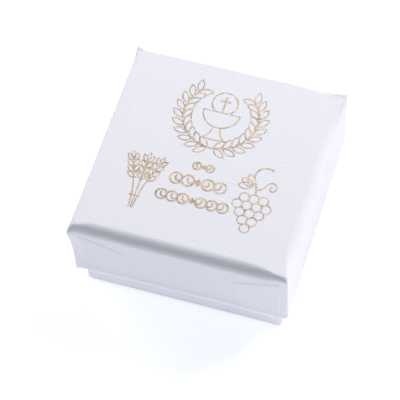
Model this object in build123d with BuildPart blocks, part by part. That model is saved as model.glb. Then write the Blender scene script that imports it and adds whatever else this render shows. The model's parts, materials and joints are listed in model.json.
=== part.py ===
# Earring box: a square set-up box of greyboard wrapped in white linen-embossed paper.
# A deep lid slides down over a tray, and a velvet-faced foam insert in the tray holds the earrings.
# The origin is on the floor under the middle of the box. +Z is up and -Y is the front.

import os
from math import cos, radians, sin

from build123d import *

os.makedirs("parts", exist_ok=True)

# Outside sizes
box_height = 26.0  # floor to the top of the closed lid
lid_width = 52.0  # across the lid's paper; the lid and the tray are square
lid_depth = 18.5  # top of the lid to its rim

# Sheet thicknesses
board = 1.2
paper = 0.15
stay = 0.10
liner = 0.12
foil = 0.03

# Fits
lid_play = 0.30  # between the lid's inner paper and the tray's outer paper, each side
rim_gap = 0.05  # between the tray's rim and the lid's liner
insert_play = 0.20

# The folded paper
lid_fold = 2.6  # outside radius of the slack fold round the lid's top
tray_fold = 1.0  # the same round the tray's floor
corner_round = 0.5
tab_reach = 12.0  # how far a corner tab runs round under the front or back flap
tab_bare = 1.8  # strip of tab that the flap leaves uncovered beside the corner
tab_drop = 3.4  # how far the tab's slanting edge falls along its length
tab_relief = 0.12
lid_turn_in = 16.0
tray_turn_in = 14.0

# The folded board
wall_gap = 0.1  # keeps neighbouring walls apart where they meet at a corner
stay_leg = 8.0

# Widths that follow
wall = paper + stay + board + paper
lid_well = lid_width - 2 * wall
tray_width = lid_well - 2 * lid_play
tray_well = tray_width - 2 * wall
tray_height = box_height - paper - board - liner - rim_gap

# Insert and lid pad
insert_width = tray_well - 2 * insert_play
insert_floor = paper + board + liner
foam_height = 12.0
velvet = 0.5
insert_corner = 1.2
cut = 0.5  # width of a knife cut once the foam has sprung back
cut_depth = 8.0
moon_radius = 4.2
moon_centre = (9.5, 3.0)
stud_slit = 3.2
stud_rise = 2.8  # stud slit above the middle of the half-moon cut
pad_width = tray_well - 1.2
pad_height = 2.0

# Foil lines, drawn from the middle of the lid's top
fine_line = 0.28
bold_line = 0.45
wreath_centre = (-1.0, 12.2)
wreath_radius = 9.0
wreath_sweep = 128  # degrees from the foot of the wreath to each tip
leaf_pairs = 10
cup_centre = -1.1
cup_rim = 13.5
scroll_centre = -0.85

# Both trays are built from their closed face, with local Z pointing at the open mouth
tray_plane = Plane.XY
lid_plane = Plane((0, 0, box_height), x_dir=(1, 0, 0), z_dir=(0, 0, -1))


def rounded_block(plane, width, depth, edge, corner):
    """A square block whose closed face has rolled edges, ending at its mouth with square ones."""
    with BuildPart() as block:
        with BuildSketch(plane):
            Rectangle(width, width)
        extrude(amount=depth)
        fillet(block.faces().sort_by(Axis(plane.origin, plane.z_dir))[0].edges(), edge)
        fillet(block.edges().filter_by(Axis.Z), corner)
    return block.part


def folded_board(plane, width, depth, fold):
    """A corner-cut blank folded up: two crossed channels, open at the four upright corners."""
    outside = width - 2 * (paper + stay)
    inside = outside - 2 * board
    across = Plane(plane.origin, x_dir=plane.x_dir, z_dir=-plane.y_dir)
    along = Plane(plane.origin, x_dir=plane.y_dir, z_dir=plane.x_dir)
    with BuildPart() as blank:
        for section_plane in (across, along):
            with BuildSketch(section_plane):
                with Locations((0, depth / 2)):
                    Rectangle(outside, depth - 2 * paper)
                with Locations((0, (paper + board + depth) / 2)):
                    Rectangle(inside, depth - paper - board, mode=Mode.SUBTRACT)
            extrude(amount=inside / 2 - wall_gap, both=True)
        folds = rounded_block(plane.offset(paper), outside, depth, fold - paper - stay, stay)
        add(folds, mode=Mode.INTERSECT)
    return blank.part


def corner_stays(plane, width, depth, fold):
    """Four strips of gummed paper, each bent round an upright corner of the folded board."""
    outside = width - 2 * paper
    between = outside - 2 * stay_leg
    with BuildPart() as stays:
        with BuildSketch(plane.offset(fold)):
            RectangleRounded(outside, outside, corner_round - paper)
            RectangleRounded(
                outside - 2 * stay, outside - 2 * stay, corner_round - paper - stay, mode=Mode.SUBTRACT
            )
            Rectangle(between, width, mode=Mode.SUBTRACT)
            Rectangle(width, between, mode=Mode.SUBTRACT)
        extrude(amount=depth - paper - fold)
    return stays.part


def paper_wrap(plane, width, depth, fold, turn_in):
    """One sheet glued round the outside, folded over the rim and turned down inside the walls."""
    well = width - 2 * wall
    with BuildPart() as wrap:
        add(rounded_block(plane, width, depth, fold, corner_round))
        hollow = rounded_block(
            plane.offset(paper), width - 2 * paper, depth, fold - paper, corner_round - paper
        )
        add(hollow, mode=Mode.SUBTRACT)
        with BuildSketch(plane.offset(depth)):
            RectangleRounded(width - paper, width - paper, corner_round)
            Rectangle(well, well, mode=Mode.SUBTRACT)
        extrude(amount=-paper)
        with BuildSketch(plane.offset(depth)):
            Rectangle(well + 2 * paper, well + 2 * paper)
            Rectangle(well, well, mode=Mode.SUBTRACT)
        extrude(amount=-turn_in)
        for side in (-1, 1):
            flap_plane = Plane(
                plane.origin + plane.y_dir * (side * width / 2),
                x_dir=plane.x_dir * -side,
                z_dir=plane.y_dir * side,
            )
            with BuildSketch(flap_plane):
                with BuildLine():
                    Polyline(
                        (width / 2 - tab_bare, fold + 0.1),
                        (width / 2 - tab_reach, fold + 0.1 + tab_drop),
                        (width / 2 - tab_reach, depth),
                        (width / 2 - tab_bare, depth),
                        close=True,
                    )
                make_face()
                mirror(about=Plane.YZ)
            extrude(amount=tab_relief)
    return wrap.part


def floor_liner(plane, width):
    """A loose-cut paper square glued on the inside of the closed face."""
    with BuildPart() as sheet:
        with BuildSketch(plane.offset(paper + board)):
            Rectangle(width - 2 * wall - 0.4, width - 2 * wall - 0.4)
        extrude(amount=liner)
    return sheet.part


def earring_cuts():
    """Knife cuts in the active sketch: a half-moon and a short slit above it, left and right."""
    for side in (-1, 1):
        with Locations((side * moon_centre[0], moon_centre[1])):
            SlotArc(CenterArc((0, 0), moon_radius, 180, 180), cut)
        with Locations((side * moon_centre[0], moon_centre[1] + stud_rise)):
            SlotOverall(stud_slit, cut)


def leaf(length, width):
    """The outline of one leaf or grain, pointed at both ends, with its stalk end at the origin."""
    with BuildSketch() as outline:
        with BuildLine():
            ThreePointArc((0, 0), (length / 2, width / 2), (length, 0))
            ThreePointArc((length, 0), (length / 2, -width / 2), (0, 0))
        make_face()
        offset(amount=-fine_line, kind=Kind.INTERSECTION, mode=Mode.SUBTRACT)
    return outline.sketch


def stroke(start, heading, bends, line):
    """A foil line in the active sketch: arcs laid end to end, each a radius and a turn in degrees."""
    x, y = start
    for radius, turn in bends:
        side = 1 if turn > 0 else -1
        centre = (x - side * radius * sin(radians(heading)), y + side * radius * cos(radians(heading)))
        SlotArc(CenterArc(centre, radius, heading - side * 90, turn), line)
        heading += turn
        x = centre[0] + side * radius * sin(radians(heading))
        y = centre[1] - side * radius * cos(radians(heading))
    return x, y, heading


# Tray and lid: board, corner stays, wrapping paper and liner
for name, plane, width, depth, fold, turn_in in (
    ("base", tray_plane, tray_width, tray_height, tray_fold, tray_turn_in),
    ("lid", lid_plane, lid_width, lid_depth, lid_fold, lid_turn_in),
):
    for piece, solid in (
        ("board", folded_board(plane, width, depth, fold)),
        ("corner_stays", corner_stays(plane, width, depth, fold)),
        ("wrap", paper_wrap(plane, width, depth, fold, turn_in)),
        ("liner", floor_liner(plane, width)),
    ):
        solid.label = f"{name}_{piece}"
        export_step(solid, f"parts/{solid.label}.step")

# Insert foam
with BuildPart() as insert_foam:
    with BuildSketch(Plane.XY.offset(insert_floor)):
        RectangleRounded(insert_width, insert_width, insert_corner)
    extrude(amount=foam_height)
    with BuildSketch(Plane.XY.offset(insert_floor + foam_height)):
        earring_cuts()
    extrude(amount=-cut_depth, mode=Mode.SUBTRACT)
insert_foam.part.label = "insert_foam"
export_step(insert_foam.part, "parts/insert_foam.step")

# Insert velvet, the flocked sheet on top of the foam
with BuildPart() as insert_velvet:
    with BuildSketch(Plane.XY.offset(insert_floor + foam_height)):
        RectangleRounded(insert_width, insert_width, insert_corner)
    extrude(amount=velvet)
    fillet(insert_velvet.faces().sort_by(Axis.Z)[-1].edges(), velvet * 0.8)
    with BuildSketch(Plane.XY.offset(insert_floor + foam_height)):
        earring_cuts()
    extrude(amount=velvet, mode=Mode.SUBTRACT)
insert_velvet.part.label = "insert_velvet"
export_step(insert_velvet.part, "parts/insert_velvet.step")

# Lid pad, the thin foam under the lid's top
with BuildPart() as lid_pad:
    with BuildSketch(lid_plane.offset(paper + board + liner)):
        RectangleRounded(pad_width, pad_width, 2.0)
    extrude(amount=pad_height)
    fillet(lid_pad.faces().sort_by(Axis.Z)[0].edges(), 0.6)
lid_pad.part.label = "lid_pad"
export_step(lid_pad.part, "parts/lid_pad.step")

# Foil wreath: two leafy branches rising from the foot of a circle
places = []
for side in (-1, 1):
    for pair in range(leaf_pairs):
        along = 5 + (wreath_sweep - 5) * pair / (leaf_pairs - 1)
        polar = -90 + side * along
        x = wreath_centre[0] + wreath_radius * cos(radians(polar))
        y = wreath_centre[1] + wreath_radius * sin(radians(polar))
        for lean in (-38, 42):
            places.append(Location((x, y, 0), (0, 0, polar + side * (90 + lean))))
with BuildPart() as foil_wreath:
    with BuildSketch(Plane.XY.offset(box_height)):
        for side in (-1, 1):
            foot = (wreath_centre[0], wreath_centre[1] - wreath_radius)
            heading = 0 if side > 0 else 180
            stroke(foot, heading, [(wreath_radius, side * (wreath_sweep + 8))], fine_line)
        with Locations(*places):
            add(leaf(3.6, 1.7))
    extrude(amount=foil)
foil_wreath.part.label = "foil_wreath"
export_step(foil_wreath.part, "parts/foil_wreath.step")

# Foil cup: a wide bowl on a flared foot, with a disc and a cross standing in it
with BuildSketch() as bowl:
    with BuildLine():
        Line((-4.6, 0), (4.6, 0))
        ThreePointArc((4.6, 0), (0, -4.6), (-4.6, 0))
    make_face()
    offset(amount=-fine_line, mode=Mode.SUBTRACT)
with BuildSketch() as foot:
    with BuildLine():
        ThreePointArc((1.1, -4.3), (1.4, -6.1), (2.7, -7.6))
        ThreePointArc((2.7, -7.6), (0, -8.1), (-2.7, -7.6))
        ThreePointArc((-2.7, -7.6), (-1.4, -6.1), (-1.1, -4.3))
        Line((-1.1, -4.3), (1.1, -4.3))
    make_face()
    offset(amount=-fine_line, mode=Mode.SUBTRACT)
with BuildPart() as foil_cup:
    with BuildSketch(Plane.XY.offset(box_height)):
        with Locations((cup_centre, cup_rim + 2.5)):
            Circle(3.2)
            Circle(3.2 - fine_line, mode=Mode.SUBTRACT)
        with Locations((cup_centre, cup_rim - 5)):
            Rectangle(20, 10, mode=Mode.SUBTRACT)
        with Locations((cup_centre, cup_rim)):
            add(bowl.sketch)
            add(foot.sketch)
        with Locations((cup_centre, cup_rim + 2.2)):
            Rectangle(bold_line, 4.4)
        with Locations((cup_centre, cup_rim + 3.1)):
            Rectangle(2.6, bold_line)
    extrude(amount=foil)
foil_cup.part.label = "foil_cup"
export_step(foil_cup.part, "parts/foil_cup.step")

# Foil wheat: three ears on bent stalks, held by a band
with BuildPart() as foil_wheat:
    with BuildSketch(Plane.XY.offset(box_height)):
        places = []
        for bend, radius in ((17, 26), (-1, 440), (-17, 26)):
            foot = (-14.0 - bend * 0.03, -17.0)
            x, y, heading = stroke(foot, 90, [(radius, bend)], fine_line)
            along_x, along_y = cos(radians(heading)), sin(radians(heading))
            stroke((x, y), heading, [(300, 1)], fine_line)
            for row in range(4):
                for lean in (-34, 34):
                    spot = (x + 1.6 * row * along_x, y + 1.6 * row * along_y, 0)
                    places.append(Location(spot, (0, 0, heading + lean)))
            places.append(Location((x + 5.1 * along_x, y + 5.1 * along_y, 0), (0, 0, heading)))
        with Locations(*places):
            add(leaf(2.5, 1.2))
        with Locations((-14.0, -13.8)):
            Rectangle(2.6, bold_line)
    extrude(amount=foil)
foil_wheat.part.label = "foil_wheat"
export_step(foil_wheat.part, "parts/foil_wheat.step")

# Foil grapes: a bunch hanging under a leaf, with a tendril
with BuildPart() as foil_grapes:
    with BuildSketch(Plane.XY.offset(box_height)):
        grapes = [
            (12.8 + 2.3 * (column - (count - 1) / 2), -7.4 - 2.0 * row)
            for row, count in enumerate((3, 4, 3, 2, 1))
            for column in range(count)
        ]
        with Locations(*grapes):
            Circle(1.28)
        with Locations(*grapes):
            Circle(1.28 - fine_line, mode=Mode.SUBTRACT)
        stroke((12.8, -6.2), 95, [(9, 25), (2.6, -150)], bold_line)
        stroke((12.7, -5.0), 20, [(3.4, 50), (1.2, -210), (0.65, -200)], fine_line)
        with Locations(*[Location((11.6, -4.2, 0), (0, 0, turn)) for turn in (115, 150, 185)]):
            add(leaf(3.6, 2.0))
    extrude(amount=foil)
foil_grapes.part.label = "foil_grapes"
export_step(foil_grapes.part, "parts/foil_grapes.step")

# Foil scrolls: three centred rows of curls that run outwards from a lozenge
with BuildPart() as foil_scrolls:
    with BuildSketch(Plane.XY.offset(box_height)):
        for row_y, curl, curls in ((-2.3, 0.95, 1), (-6.7, 1.45, 2), (-11.7, 1.3, 3)):
            with Locations((scroll_centre, row_y)):
                Rectangle(curl, curl, rotation=45)
            for side in (-1, 1):
                for place in range(curls):
                    x = scroll_centre + side * (0.65 * curl + curl * (2 * place + 1))
                    heading = 0 if side > 0 else 180
                    bends = [(curl, side * 250), (curl * 0.55, side * 230)]
                    stroke((x, row_y - curl), heading, bends, bold_line)
                    stroke((x, row_y - curl), 180 - heading, [(curl, -side * 90)], bold_line)
    extrude(amount=foil)
foil_scrolls.part.label = "foil_scrolls"
export_step(foil_scrolls.part, "parts/foil_scrolls.step")
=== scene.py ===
import json
import math
from collections import namedtuple

import bmesh
import bpy
import numpy as np
from mathutils import Matrix, Vector


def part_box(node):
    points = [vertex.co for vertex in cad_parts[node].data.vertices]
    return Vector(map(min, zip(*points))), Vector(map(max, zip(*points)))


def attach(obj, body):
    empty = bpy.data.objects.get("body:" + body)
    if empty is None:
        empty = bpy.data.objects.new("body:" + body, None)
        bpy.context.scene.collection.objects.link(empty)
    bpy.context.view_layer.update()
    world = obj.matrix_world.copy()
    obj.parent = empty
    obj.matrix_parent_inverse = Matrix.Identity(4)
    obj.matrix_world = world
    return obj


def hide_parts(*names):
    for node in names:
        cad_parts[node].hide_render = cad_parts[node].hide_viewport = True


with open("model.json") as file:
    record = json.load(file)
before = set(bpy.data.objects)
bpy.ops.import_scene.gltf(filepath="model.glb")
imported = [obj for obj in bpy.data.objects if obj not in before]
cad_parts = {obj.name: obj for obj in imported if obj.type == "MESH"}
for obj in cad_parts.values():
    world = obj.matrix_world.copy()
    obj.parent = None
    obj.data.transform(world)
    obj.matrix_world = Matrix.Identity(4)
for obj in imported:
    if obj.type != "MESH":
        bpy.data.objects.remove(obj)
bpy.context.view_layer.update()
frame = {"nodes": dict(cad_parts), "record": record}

scene = bpy.context.scene
scene.view_settings.view_transform = "Standard"

# Boards of the tray and the lid: stiff greyboard of pressed waste paper, grey-brown with darker and
# lighter fibres and a matt face. Each is one blank with its corners cut out, scored and folded up.
MM = 0.001


def add_node(tree, kind, inputs, **settings):
    """A shader node with its settings. Each of its inputs is set to a value, or is linked where it is
    given the output of another node."""
    node = tree.nodes.new(kind)
    for name, value in settings.items():
        setattr(node, name, value)
    for name, value in inputs.items():
        if isinstance(value, bpy.types.NodeSocket):
            tree.links.new(value, node.inputs[name])
        else:
            node.inputs[name].default_value = value
    return node


def new_finish(name, inputs):
    """A material whose principled shader has the given inputs, returned with its tree and its shader."""
    finish = bpy.data.materials.new(name)
    finish.use_nodes = True
    shader = finish.node_tree.nodes["Principled BSDF"]
    for label, value in inputs.items():
        shader.inputs[label].default_value = value
    return finish, finish.node_tree, shader


def finish_nodes(slot, finish):
    """Gives the finish to every CAD node that the record puts in this material slot."""
    for row in frame["record"]["subparts"]:
        if row["material_slot"] == slot:
            materials = frame["nodes"][row["node"]].data.materials
            materials.clear()
            materials.append(finish)


def in_millimetres(tree, stretch=(1.0, 1.0, 1.0)):
    """The place on the piece itself in millimetres, with each axis times its stretch."""
    place = tree.nodes.new("ShaderNodeTexCoord").outputs["Object"]
    inputs = {0: place, 1: [share / MM for share in stretch]}
    return add_node(tree, "ShaderNodeVectorMath", inputs, operation="MULTIPLY").outputs["Vector"]


def add_noise(tree, scale, detail, roughness, stretch=(1.0, 1.0, 1.0)):
    """Noise between 0 and 1 over the piece, with about as many grains to a millimetre as its scale."""
    place = in_millimetres(tree, stretch)
    inputs = {"Vector": place, "Scale": scale, "Detail": detail, "Roughness": roughness}
    return add_node(tree, "ShaderNodeTexNoise", inputs).outputs["Fac"]


def add_colours(tree, target, value, low, high, stops=(0.35, 0.65)):
    """Feeds an input with the colour that goes from low to high as the value passes the two stops."""
    ramp = add_node(tree, "ShaderNodeValToRGB", {"Fac": value})
    for element, stop, colour in zip(ramp.color_ramp.elements, stops, (low, high)):
        element.position = stop
        element.color = (*colour, 1)
    tree.links.new(ramp.outputs["Color"], target)


def add_bump(tree, shader, height, distance, strength=0.6):
    """Relief from a height between 0 and 1, as deep as the distance in millimetres."""
    inputs = {"Height": height, "Distance": distance * MM, "Strength": strength}
    tree.links.new(add_node(tree, "ShaderNodeBump", inputs).outputs["Normal"], shader.inputs["Normal"])


greyboard, tree, shader = new_finish("greyboard", {"Roughness": 0.92})
fibres = add_noise(tree, 1.6, 6.0, 0.75, (1.0, 0.35, 1.0))
add_colours(tree, shader.inputs["Base Color"], fibres, (0.27, 0.245, 0.21), (0.45, 0.42, 0.37))
add_bump(tree, shader, fibres, 0.06)
finish_nodes("greyboard", greyboard)

# Corner stays of the tray and the lid: strips of gummed brown kraft paper with faint stripes, wetted
# and stuck round the outside of each corner, where they hold the folded walls of the board together.
stay_tape, tree, shader = new_finish("gummed_stay_tape", {"Roughness": 0.6})
stripes = add_noise(tree, 1.2, 4.0, 0.6, (1.0, 1.0, 6.0))
add_colours(tree, shader.inputs["Base Color"], stripes, (0.45, 0.35, 0.22), (0.60, 0.49, 0.33))
add_bump(tree, shader, stripes, 0.02)
finish_nodes("stay_tape", stay_tape)

# Wrapping paper of the lid and the tray: white paper embossed like linen, glued round the board and
# its stays. Tabs are tucked under the front and back at each corner, and the edges turned in over the rim.
# The lid's paper was pulled tight only at the back and left, and bunched at the near-left corner.
PAPER = 0.15
WALL = 1.60  # the board with paper on both faces
FLAP_EDGE = 1.8  # from the corner to the edge of the flap that covers its tab
TAB_REACH = 13.2  # from the corner to the tab's far end
TAB_DROP = 2.2  # depth of the tab's top edge at the corner, from where it slopes down
TAB_SLOPE = 0.35
TAB_RELIEF = 0.12
GROOVE = 0.10
SWELLING = 0.15
SWELLING_LEVEL = 0.85  # above the rim
UNEVENNESS = 0.05


def bell(x, width):
    """exp(-(x / width)^2), which is 1 at x = 0 and fades within about two widths."""
    return np.exp(-((x / width) ** 2))


def smooth(x):
    """3 x^2 - 2 x^3, a step from 0 at x = 0 to 1 at x = 1, level at both ends."""
    x = np.clip(x, 0.0, 1.0)
    return x * x * (3 - 2 * x)


def ripple(u, v, seed):
    """Slow unevenness of hand-laid paper: the mean of a few long sine waves of random direction."""
    waves, shortest, longest = 5, 9, 24
    rng = np.random.default_rng(seed)
    total = np.zeros(np.broadcast(u, v).shape)
    for _ in range(waves):
        angle, phase = rng.uniform(0, 2 * math.pi, 2)
        length = rng.uniform(shortest, longest)
        total += np.sin((u * math.cos(angle) + v * math.sin(angle)) * 2 * math.pi / length + phase)
    return total / waves


def columns(half):
    """Places across one side, closest together by its corners and widest apart between its tabs."""
    corner_width, corner_step, tab_step, middle_columns = 2.4, 0.15, 0.3, 8
    by_corner = np.arange(0, corner_width, corner_step)
    over_tab = np.arange(corner_width, TAB_REACH, tab_step)
    middle = np.linspace(TAB_REACH, half, middle_columns, endpoint=False)
    left = np.concatenate([by_corner, over_tab, middle]) - half
    return np.concatenate([left, [0.0], -left[::-1]])


def wrap_profile(half, depth, inward, downward, rim, gathered, tip, turn_in):
    """The rows of one side, from the middle of the closed face round to the back of the same place.
    Each has its distance out from the middle, its depth below the closed face, the radius at which it
    rounds the corners, and its share of the outside's relief, which fades as it goes round the rim.
    The fold is a quarter ellipse, out = half - inward (1 - sin a) and down = downward (1 - cos a), and
    the rim is two quarter circles. Gathered paper adds to out, and a raised tip takes from down."""
    corner_round, inner_round, face_round, fold_round = 0.5, 0.1, 0.05, 0.35
    rim_round, near_rim, hem = 0.28, 1.7, 0.6
    pasted_round, pasted_top, pasted_end = 0.3, 3.2, 1.0
    gather_depth, gather_height, tip_fade = 1.6, 5.0, 1.5
    fold_rows, wall_rows, rim_rows, hem_rows = 30, 53, 6, 12

    def stretch(out, down, rounding, skin):
        """A stretch of rows, with each of its four values spread over all columns."""
        return np.stack(np.broadcast_arrays(out, down, rounding, skin, 0 * inward[None, :])[:4])

    def gather(down):
        """How far the gathered paper stands out at a depth."""
        return gathered * bell(down - gather_depth, gather_height)

    # The closed face's outer rows lie close together, next to the fold.
    share = np.concatenate([np.linspace(0, 0.8, 5), np.linspace(0.84, 1, 10)])[:, None]
    closed_face = stretch(share * (half - inward), 0, face_round, 0)

    a = np.linspace(0, math.pi / 2, fold_rows + 1)[1:, None]
    down = downward * (1 - np.cos(a))
    out = half - inward * (1 - np.sin(a)) + gather(down)
    rounding = inner_round + (corner_round - inner_round) * np.sin(a)
    fold = stretch(out, down - tip * np.sin(a) ** 2, rounding + fold_round * inward * np.sin(2 * a), 0)

    # The wall's last rows lie close together, for the swelling above the rim.
    share = np.linspace(0, 1, wall_rows + 1)[1:, None]
    down = downward + share * (rim - near_rim - downward)
    raised = tip * bell(down - downward, tip_fade)
    wall = stretch(half + gather(down), down - raised, corner_round, 1)
    above_rim = np.array([1.45, 1.2, 1.0, 0.8, 0.62, 0.46, 0.36])[:, None]
    wall_end = stretch(half, rim - above_rim, corner_round, 1)

    a = np.linspace(0, math.pi / 2, rim_rows)[:, None]
    sweep = rim_round * (1 - np.cos(a))
    rise = rim_round * (1 - np.sin(a))
    inner = half - WALL
    outer_rim = stretch(half - sweep, rim - rise, corner_round, 1 - 0.5 * a)
    inner_rim = stretch(inner + sweep[::-1], depth - rise[::-1], inner_round, 0)
    down = np.linspace(depth - hem, depth - turn_in, hem_rows)[:, None]
    turned_in = stretch(inner, down, inner_round, 0)

    # From here on the rows are the back of the paper, against the board.
    down = np.array([[depth - turn_in], [depth - PAPER]])
    hem_back = stretch(inner + PAPER, down, inner_round, 0)
    down = np.array([[depth - pasted_end], [pasted_top]])
    wall_back = stretch(half - PAPER, down, pasted_round, 0)
    fold_back = stretch(half - inward, PAPER, inner_round, 0)
    face_back = stretch(np.array([[0.5 * half], [0.0]]), PAPER, face_round, 0)
    front = [closed_face, fold, wall, wall_end, outer_rim, inner_rim, turned_in]
    return np.concatenate(front + [hem_back, wall_back, fold_back, face_back], axis=1)


def wrapped_side(half, depth, roll, ends, turn_in, seed, tabs):
    """One quarter of the wrap, as a grid of points and each row's length along the paper. Column t
    goes along the side from -1 to 1. The fold reaches roll (1 - ease) + corner ease, with ease a bell
    of the distance from the corner. Bells of that distance also shape the gathered paper, the hanging
    rim and the raised tip. Tabs, swelling and unevenness then move the outside in or out."""
    gather_width, hang_width, tip_share = 1.8, 1.5, 0.5
    tab_fade, end_fade, flap_fade, groove_width = 0.35, 0.9, 0.2, 0.16
    swelling_above, swelling_below = 1.5, 0.42
    corner_fade, fold_fade = 1.0, 1.2
    t = columns(half) / half
    from_corner = half * (1 - np.abs(t))
    corner_in, corner_down, reach, gathered, hang, tip = np.where(t < 0, *np.array(ends)[:, :, None])
    ease = bell(from_corner, reach)
    inward = roll[0] * (1 - ease) + corner_in * ease
    downward = roll[1] * (1 - ease) + corner_down * ease
    rim = depth + hang * bell(from_corner, hang_width)
    gathered = gathered * bell(from_corner, gather_width)
    tip = tip * bell(from_corner, tip_share * reach)
    rows = wrap_profile(half, depth, inward, downward, rim, gathered, tip, turn_in)
    out, down, rounding, skin = rows

    # The last stretch of each side goes round half of the corner's arc, as far as its mitre.
    rounding = np.minimum(rounding, out)
    flat = out - rounding
    place = np.abs(t) * out
    turn = np.clip((place - flat) / np.maximum(rounding * math.sqrt(0.5), 1e-9), 0, 1) * math.pi / 4
    along = np.where(place > flat, flat + rounding * np.sin(turn), place)
    across = flat + np.where(place > flat, rounding * np.cos(turn), rounding)

    # A tab shows as low relief with a sloping top edge, and the edge of its flap as a groove.
    tab_top = TAB_DROP + TAB_SLOPE * from_corner
    beyond_flap = smooth((from_corner - FLAP_EDGE) / flap_fade + 0.5)
    before_end = smooth((TAB_REACH - from_corner) / end_fade)
    tab = smooth((down - tab_top) / tab_fade) * before_end * beyond_flap
    relief = TAB_RELIEF * tab - GROOVE * bell(from_corner - FLAP_EDGE, groove_width)

    # The doubled paper swells a little above the rim, and falls off sharply below its fullest line.
    above = rim - down - SWELLING_LEVEL
    swelling = SWELLING * bell(above, np.where(above > 0, swelling_above, swelling_below))
    uneven = UNEVENNESS * ripple(t * half, down, seed)
    free = skin * smooth(from_corner / corner_fade) * smooth((down - downward) / fold_fade)
    across = across + free * (tabs * relief + swelling + uneven)

    points = np.stack([np.sign(t) * along, -across, -down], axis=-1)
    steps = np.linalg.norm(np.diff(points, axis=0), axis=-1).mean(axis=1)
    length = np.concatenate([[0.0], np.cumsum(steps)])[:, None] + 0 * t
    return points, length


def grid_faces(index):
    """The four-sided faces of a grid of point numbers."""
    around = [index[:-1, :-1], index[1:, :-1], index[1:, 1:], index[:-1, 1:]]
    return np.stack(around, axis=-1).reshape(-1, 4)


def new_piece(name, points, faces):
    """A mesh object at the origin, from points in millimetres and faces as lists of point numbers."""
    mesh = bpy.data.meshes.new(name)
    mesh.from_pydata((points * MM).tolist(), [], faces)
    piece = bpy.data.objects.new(name, mesh)
    scene.collection.objects.link(piece)
    return piece


def weld(piece):
    """Joins the points that lie on one another, drops the empty faces this leaves, turns all faces
    outwards and shades them smooth."""
    work = bmesh.new()
    work.from_mesh(piece.data)
    bmesh.ops.remove_doubles(work, verts=work.verts, dist=0.002 * MM)
    bmesh.ops.dissolve_degenerate(work, edges=work.edges, dist=0.0001 * MM)
    bmesh.ops.recalc_face_normals(work, faces=work.faces)
    work.to_mesh(piece.data)
    work.free()
    piece.data.shade_smooth()


def node_span(node):
    """Half the width, the lowest level and the highest level of a CAD node, in millimetres."""
    low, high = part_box(node)
    return round(high[0] / MM, 2), round(low[2] / MM, 2), round(high[2] / MM, 2)


def paper_wrap(name, node, rolls, corners, turn_in, closed_on_top, seed):
    """The whole wrap in a CAD node's place: four quarters turned about Z and joined, with UV in
    millimetres of flat sheet. Sides go round from the front by the right, and each corner comes
    before the side of its number."""
    half, low, high = node_span(node)
    points, faces, sheet, first = [], [], [], 0
    for side in range(4):
        ends = (corners[side], corners[(side + 1) % 4])
        has_tabs = side % 2 == 0
        grid, length = wrapped_side(half, high - low, rolls[side], ends, turn_in, seed + side, has_tabs)
        x, y, z = np.moveaxis(grid, -1, 0)
        cos, sin = math.cos(side * math.pi / 2), math.sin(side * math.pi / 2)
        points.append(np.stack([x * cos - y * sin, x * sin + y * cos, z], axis=-1).reshape(-1, 3))
        sheet.append(np.stack([x * cos + length * sin, x * sin - length * cos], axis=-1).reshape(-1, 2))
        faces.append(grid_faces(first + np.arange(length.size).reshape(length.shape)))
        first += length.size
    points = np.concatenate(points)
    faces = np.concatenate(faces)
    if not closed_on_top:
        points[:, 2] *= -1
        faces = faces[:, ::-1]
    points[:, 2] += high if closed_on_top else low
    piece = new_piece(name, points, faces.tolist())
    layer = piece.data.uv_layers.new(name="UVMap")
    layer.data.foreach_set("uv", np.concatenate(sheet)[faces.ravel()].astype(np.float32).ravel())
    weld(piece)
    return piece


# Linen emboss: rows of short pressed threads laid like bricks, each a little higher or lower. The rows
# waver, and a fine grain lies over them.
THREAD_PITCH = 0.75
WAVER = (2.2, 1.3, 0.0)
GRAIN = 1.1
linen = bpy.data.node_groups.new("linen_emboss", "ShaderNodeTree")
linen.interface.new_socket("Vector", in_out="INPUT", socket_type="NodeSocketVector")
linen.interface.new_socket("Thread pitch", in_out="INPUT", socket_type="NodeSocketFloat")
linen.interface.new_socket("Height", in_out="OUTPUT", socket_type="NodeSocketFloat")
given = linen.nodes.new("NodeGroupInput").outputs
inputs = {0: given["Vector"], 1: given["Thread pitch"]}
in_threads = add_node(linen, "ShaderNodeVectorMath", inputs, operation="DIVIDE").outputs["Vector"]
waver = add_node(linen, "ShaderNodeTexNoise", {"Vector": in_threads, "Scale": 0.45, "Detail": 3.0})
inputs = {0: waver.outputs["Color"], 1: WAVER, 2: in_threads}
bent = add_node(linen, "ShaderNodeVectorMath", inputs, operation="MULTIPLY_ADD")
inputs = {
    "Vector": bent.outputs["Vector"],
    "Color1": (1.0, 1.0, 1.0, 1),
    "Color2": (0.35, 0.35, 0.35, 1),
    "Mortar": (0.0, 0.0, 0.0, 1),
    "Scale": 1.0,
    "Mortar Size": 0.34,
    "Mortar Smooth": 1.0,
    "Brick Width": 1.5,
    "Row Height": 1.0,
}
thread = add_node(linen, "ShaderNodeTexBrick", inputs, offset=0.5, offset_frequency=2, squash=1.0)
grain = add_node(linen, "ShaderNodeTexNoise", {"Vector": in_threads, "Scale": 1.3, "Detail": 4.0})
inputs = {0: grain.outputs["Fac"], 1: GRAIN, 2: thread.outputs["Color"]}
height = add_node(linen, "ShaderNodeMath", inputs, operation="MULTIPLY_ADD")
add_node(linen, "NodeGroupOutput", {"Height": height.outputs["Value"]})


def add_emboss(tree, shader, place, distance, strength):
    """Linen relief over places in millimetres."""
    inputs = {"Vector": place, "Thread pitch": THREAD_PITCH}
    emboss = add_node(tree, "ShaderNodeGroup", inputs, node_tree=linen)
    add_bump(tree, shader, emboss.outputs["Height"], distance, strength)


inputs = {"Base Color": (0.85, 0.846, 0.892, 1), "Roughness": 0.62, "Specular IOR Level": 0.35}
wrapping_paper, tree, shader = new_finish("white_linen_paper", inputs)
add_emboss(tree, shader, tree.nodes.new("ShaderNodeUVMap").outputs["UV"], 0.05, 0.42)
finish_nodes("wrapping_paper", wrapping_paper)

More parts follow.
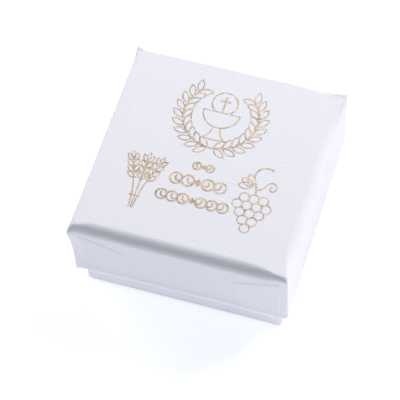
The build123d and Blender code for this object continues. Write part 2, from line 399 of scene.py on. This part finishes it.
# Each side's fold reaches inward and downward by its roll. At a corner it reaches inward and downward
# by the corner's own amounts, and eases into them over the corner's reach. The last three amounts are
# how far gathered paper stands out, the rim hangs down and the tip stands up there.
Corner = namedtuple("Corner", "inward downward reach gathered hang tip")
slack, tight, fairly_tight = (2.75, 2.75), (0.5, 0.35), (0.9, 0.7)
lid_corners = [
    Corner(inward=2.1, downward=2.3, reach=2.0, gathered=0.62, hang=0.9, tip=0.0),
    Corner(inward=1.15, downward=1.3, reach=4.5, gathered=0.0, hang=-0.1, tip=0.0),
    Corner(inward=1.7, downward=0.45, reach=8.0, gathered=0.25, hang=-0.1, tip=0.55),
    Corner(inward=1.2, downward=0.25, reach=2.5, gathered=0.25, hang=-0.1, tip=0.45),
]
lid_rolls = [slack, slack, tight, fairly_tight]
lid_paper = paper_wrap("lid_paper", "lid_wrap", lid_rolls, lid_corners, 16.0, True, 11)
lid_paper.data.materials.append(wrapping_paper)
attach(lid_paper, "lid")
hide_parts("lid_wrap")

tray_corner = Corner(inward=0.5, downward=0.4, reach=2.0, gathered=0.0, hang=-0.1, tip=0.0)
tray_paper = paper_wrap("tray_paper", "base_wrap", [tight] * 4, [tray_corner] * 4, 14.0, False, 41)
tray_paper.data.materials.append(wrapping_paper)
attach(tray_paper, "tray")
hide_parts("base_wrap")

# Liners: squares of smooth uncoated white paper, slightly mottled, pasted on the tray's floor and
# inside the lid's top, where they cover the bare board.
liner_paper, tree, shader = new_finish("white_liner", {"Roughness": 0.72})
mottle = add_noise(tree, 0.9, 6.0, 0.65)
add_colours(tree, shader.inputs["Base Color"], mottle, (0.80, 0.80, 0.82), (0.86, 0.86, 0.88))
add_bump(tree, shader, mottle, 0.03)
finish_nodes("liner_paper", liner_paper)

# Insert: a block of white polyurethane foam pressed into the tray, with a sheet of flocked velvet
# glued on its face. A knife has cut a moon and a slit for each earring through both, and the foam
# sinks along the cuts. Its open cells are pits, with painted shade in them, and the velvet's short
# nap lies this way and that, shown as patches of painted sheen.
EARRING_SIDE = 9.5
EARRING_LEVEL = 3.0
MOON_RADIUS = 4.2
SLIT_LENGTH = 3.2
SLIT_RISE = 2.8


def from_cuts(x, y, side):
    """Distance from the cuts of one earring: the lower half of a circle, and a level slit above."""
    x = x - side * EARRING_SIDE
    y = y - EARRING_LEVEL
    arc = np.abs(np.hypot(x, y) - MOON_RADIUS)
    ends = np.hypot(np.abs(x) - MOON_RADIUS, y)
    slit = np.hypot(np.maximum(np.abs(x) - SLIT_LENGTH / 2, 0), y - SLIT_RISE)
    return np.minimum(np.where(y < 0, arc, ends), slit)


def cushion(name, node, rounding, is_cut, face_up=True, tuck=0.0):
    """A square pad in a CAD node's place, as a height field. With e the distance from its edge and r
    the distance from its middle, both square to the nearest side, its height is the node's less
    rounding (1 - sqrt(1 - (1 - e / rounding)^2)) at the edge, less crown (1 - exp(-(r / half)^2)),
    less a narrow and a wide bell along each cut. The side away from the face is flat."""
    spacing, least, crown = 0.28, 0.04, 0.10
    deepest_cut, left_whole, cut_width, dip, dip_width = 0.45, 0.025, 0.26, 0.14, 1.1
    half, low, high = node_span(node)
    low = low - tuck
    line = np.linspace(-half, half, int(2 * half / spacing))
    x, y = np.meshgrid(line, line)
    from_middle = np.maximum(np.abs(x), np.abs(y))
    into_edge = 1 - np.minimum((half - from_middle) / rounding, 1)
    height = high - low - rounding * (1 - np.sqrt(1 - into_edge**2))
    height = height - crown * (1 - bell(from_middle, half))
    if is_cut:
        cut_depth = min(deepest_cut, 0.5 * (high - low) - left_whole)
        for side in (-1, 1):
            gap = from_cuts(x, y, side)
            height = height - cut_depth * bell(gap, cut_width) - dip * bell(gap, dip_width)
    height = np.maximum(height, least)
    face = np.stack([x, y, low + height if face_up else high - height], axis=-1).reshape(-1, 3)
    index = np.arange(x.size).reshape(x.shape)
    edge = np.concatenate([index[0, :-1], index[:-1, -1], index[-1, :0:-1], index[:0:-1, 0]])
    flat_edge = face[edge] * (1, 1, 0) + (0, 0, low if face_up else high)
    below = x.size + np.arange(len(edge))
    walls = np.stack([edge, below, np.roll(below, -1), np.roll(edge, -1)], axis=1)
    faces = grid_faces(index.T).tolist() + walls.tolist() + [below[::-1].tolist()]
    piece = new_piece(name, np.concatenate([face, flat_edge]), faces)
    weld(piece)
    return piece


foam, tree, shader = new_finish("white_foam", {"Roughness": 0.95})
cells = add_node(tree, "ShaderNodeTexVoronoi", {"Vector": in_millimetres(tree), "Scale": 2.6})
pit_depth_and_shade = cells.outputs["Distance"]
# The colour is darker towards the middle of each cell: painted shade in the pits.
add_colours(tree, shader.inputs["Base Color"], pit_depth_and_shade, (0.74, 0.74, 0.73), (0.85, 0.85, 0.85), (0.05, 0.5))
add_bump(tree, shader, pit_depth_and_shade, 0.18)
finish_nodes("foam", foam)

inputs = {"Roughness": 0.95, "Sheen Weight": 0.25, "Sheen Roughness": 0.4}
velvet, tree, shader = new_finish("white_velvet", inputs)
nap_and_painted_sheen = add_noise(tree, 0.35, 5.0, 0.6)
# Lighter and darker patches of colour: painted sheen where the nap lies this way and that.
add_colours(tree, shader.inputs["Base Color"], nap_and_painted_sheen, (0.76, 0.76, 0.78), (0.80, 0.80, 0.82), (0.2, 0.8))
add_bump(tree, shader, add_noise(tree, 6.0, 2.0, 0.5), 0.12)
finish_nodes("velvet", velvet)

insert_block = cushion("insert_block", "insert_foam", 0.5, True)
insert_block.data.materials.append(foam)
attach(insert_block, "insert")
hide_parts("insert_foam")

insert_face = cushion("insert_face", "insert_velvet", 0.45, True, tuck=0.02)
insert_face.data.materials.append(velvet)
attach(insert_face, "insert")
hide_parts("insert_velvet")

# Lid pad: a thin square of the same foam, stuck under the lid's top with its rounded face down, so
# that the earrings stay put when the box is closed.
lid_cushion = cushion("lid_cushion", "lid_pad", 0.9, False, face_up=False)
lid_cushion.data.materials.append(foam)
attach(lid_cushion, "lid")
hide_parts("lid_pad")

# Gold print: metal foil stamped hot on the lid's paper. It follows the linen emboss, is duller in
# some places than in others, and has missed small spots, where the paper shows through.
gold_foil, tree, shader = new_finish("gold_foil", {"Roughness": 0.44})
spots = add_noise(tree, 1.3, 3.0, 0.6)
inputs = {"Value": spots, "From Min": 0.50, "From Max": 0.66, "To Max": 0.8}
missed = add_node(tree, "ShaderNodeMapRange", inputs).outputs["Result"]
# The Mix node has several sockets of each name, so its colours go by their numbers.
FACTOR, FIRST_COLOUR, SECOND_COLOUR, MIXED_COLOUR = 0, 6, 7, 2
bare_paper, dull, bright = (0.80, 0.77, 0.78, 1), (0.46, 0.37, 0.29), (0.86, 0.66, 0.43)
inputs = {FACTOR: missed, SECOND_COLOUR: bare_paper}
shown = add_node(tree, "ShaderNodeMix", inputs, data_type="RGBA")
patches = add_noise(tree, 0.55, 5.0, 0.7)
add_colours(tree, shown.inputs[FIRST_COLOUR], patches, dull, bright, (0.36, 0.64))
metal = add_node(tree, "ShaderNodeMath", {0: 1.0, 1: missed}, operation="SUBTRACT")
tree.links.new(shown.outputs[MIXED_COLOUR], shader.inputs["Base Color"])
tree.links.new(metal.outputs["Value"], shader.inputs["Metallic"])
add_emboss(tree, shader, in_millimetres(tree), 0.04, 0.6)
finish_nodes("foil", gold_foil)

# Floor: a pale matt sheet that the box stands on. It glows only to the camera and in reflections, so
# that it shows as white and keeps the box's shadow.
FLOOR_HALF = 3000.0
FLOOR_LEVEL = -0.1
FLOOR_GLOW = 0.585
floor_corners = [(-1, -1, 0), (1, -1, 0), (1, 1, 0), (-1, 1, 0)]
floor_points = np.array(floor_corners) * FLOOR_HALF + (0, 0, FLOOR_LEVEL)
floor = new_piece("floor", floor_points, [(0, 1, 2, 3)])
inputs = {"Base Color": (0.88, 0.89, 0.92, 1), "Roughness": 0.9, "Specular IOR Level": 0.0}
floor_sheet, tree, shader = new_finish("white_table", inputs)
ray = tree.nodes.new("ShaderNodeLightPath").outputs
inputs = {0: ray["Is Glossy Ray"], 1: ray["Is Transmission Ray"]}
mirrored = add_node(tree, "ShaderNodeMath", inputs, operation="MAXIMUM").outputs["Value"]
inputs = {0: ray["Is Camera Ray"], 1: mirrored}
seen = add_node(tree, "ShaderNodeMath", inputs, operation="MAXIMUM").outputs["Value"]
strength = add_node(tree, "ShaderNodeMath", {0: seen, 1: FLOOR_GLOW}, operation="MULTIPLY")
inputs = {"Color": (0.97, 0.985, 1.0, 1), "Strength": strength.outputs["Value"]}
glow = add_node(tree, "ShaderNodeEmission", inputs).outputs["Emission"]
both = add_node(tree, "ShaderNodeAddShader", {0: shader.outputs["BSDF"], 1: glow})
tree.links.new(both.outputs["Shader"], tree.nodes["Material Output"].inputs["Surface"])
floor.data.materials.append(floor_sheet)

# Light: a dim, even room, a key lamp from the back right, a glowing sheet lying on the table in front
# that lifts the front face, a soft fill from the left, and a small card that the foil reflects.
world = bpy.data.worlds.new("room")
scene.world = world
world.use_nodes = True
room = world.node_tree.nodes["Background"]
room.inputs["Color"].default_value = (0.84, 0.89, 1.0, 1)
room.inputs["Strength"].default_value = 0.27


def area_light(name, place, target, width, height, energy, color):
    """A rectangular lamp at a place, facing a target, that the camera doesn't see."""
    data = bpy.data.lights.new(name, "AREA")
    data.shape = "RECTANGLE"
    data.size, data.size_y = width, height
    data.energy, data.color = energy, color
    lamp = bpy.data.objects.new(name, data)
    scene.collection.objects.link(lamp)
    lamp.location = place
    lamp.rotation_mode = "QUATERNION"
    lamp.rotation_quaternion = (Vector(target) - Vector(place)).to_track_quat("-Z", "Y")
    lamp.visible_camera = False


box_middle, box_top = (0, 0, 0.02), (0, 0, 0.026)
area_light("key", (0.407, 0.602, 0.516), box_middle, 0.55, 0.45, 8.1, (1.0, 0.985, 0.98))
sheet_place, straight_up = (-0.02, -0.1542, 0.0003), (-0.02, -0.1542, 1.0)
area_light("table_glow", sheet_place, straight_up, 0.36, 0.26, 0.224, (0.93, 0.95, 1.0))
area_light("side_fill", (-0.60, 0.20, 0.24), box_middle, 0.40, 0.30, 2.2, (0.95, 0.97, 1.0))
area_light("foil_card", (-0.11, 0.28, 0.53), box_top, 0.30, 0.30, 0.22, (1.0, 0.98, 0.95))

# Camera: the photograph's view, a long lens from the front right and above, tilted a little. It aims
# at a point inside the box from just under half a metre away.
yaw, pitch, roll = math.radians(20.638), math.radians(58.839), math.radians(-4.114)
distance = 0.47401
aim = Vector((-1.827, -3.612, 13.0)) * MM
back = Vector((math.sin(yaw) * math.cos(pitch), -math.cos(yaw) * math.cos(pitch), math.sin(pitch)))
right = Vector((0, 0, 1)).cross(back).normalized()
up = back.cross(right)
picture_right = right * math.cos(roll) + up * math.sin(roll)
picture_up = up * math.cos(roll) - right * math.sin(roll)
camera_data = bpy.data.cameras.new("camera")
camera_data.sensor_width, camera_data.lens = 36, 180
camera_data.clip_start, camera_data.clip_end = 0.01, 20
camera = bpy.data.objects.new("camera", camera_data)
scene.collection.objects.link(camera)
turned = Matrix((picture_right, picture_up, back)).transposed().to_4x4()
camera.matrix_world = Matrix.Translation(aim + back * distance) @ turned
scene.camera = camera
